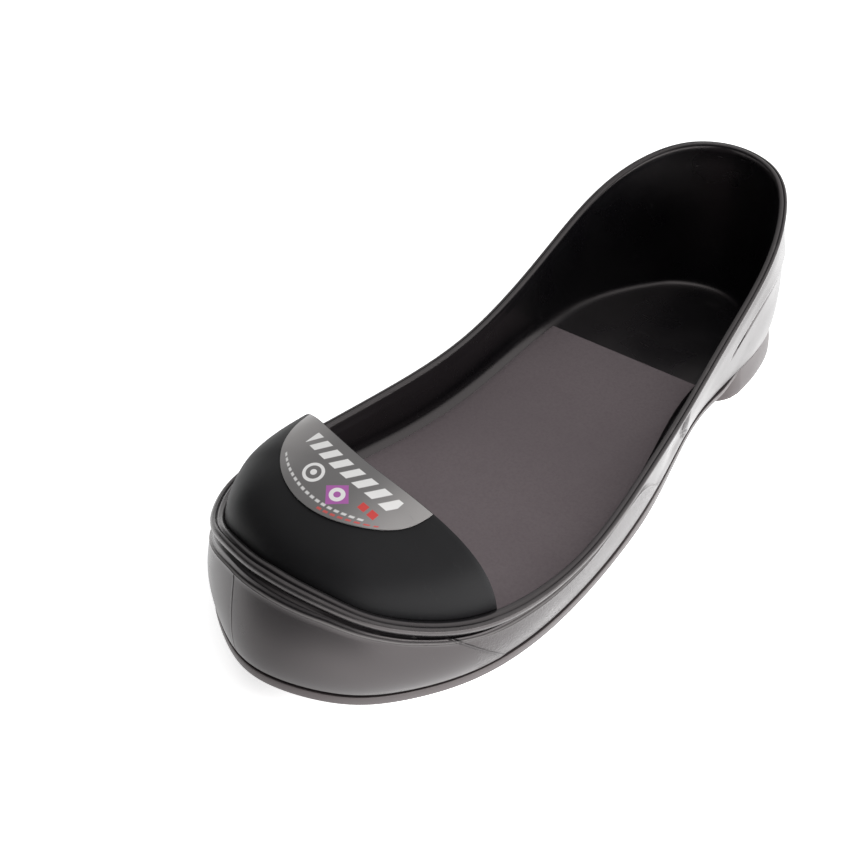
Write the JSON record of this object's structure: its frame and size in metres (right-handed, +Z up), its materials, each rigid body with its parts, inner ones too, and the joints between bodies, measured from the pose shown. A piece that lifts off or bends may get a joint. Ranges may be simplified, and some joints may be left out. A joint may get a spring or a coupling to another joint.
{
  "type": "safety toe overshoe",
  "caption": "Slip-on overshoe for the left foot: low moulded boat-shaped upper with a high heel, hard domed toe cap, film label, flat footbed and lugged sole with a heel block.",
  "frame": {"origin": "middle of the overshoe in plan, on the ground it stands on", "axes": "+Y from toe to heel, +X to the outer side of the left foot, +Z up"},
  "size_m": [0.1262, 0.3132, 0.0843],
  "materials": {
    "outsole": "matt, pebbled on the tread",
    "upper": "satin moulded",
    "toe_cap": "gloss black coat",
    "toe_label": "satin film, printed",
    "footbed": "matt sheet"
  },
  "bodies": {
    "root": {"outsole": "outsole", "upper": "upper", "toe_cap": "toe_cap", "toe_label": "toe_label", "footbed": "footbed"}
  },
  "joints": []
}
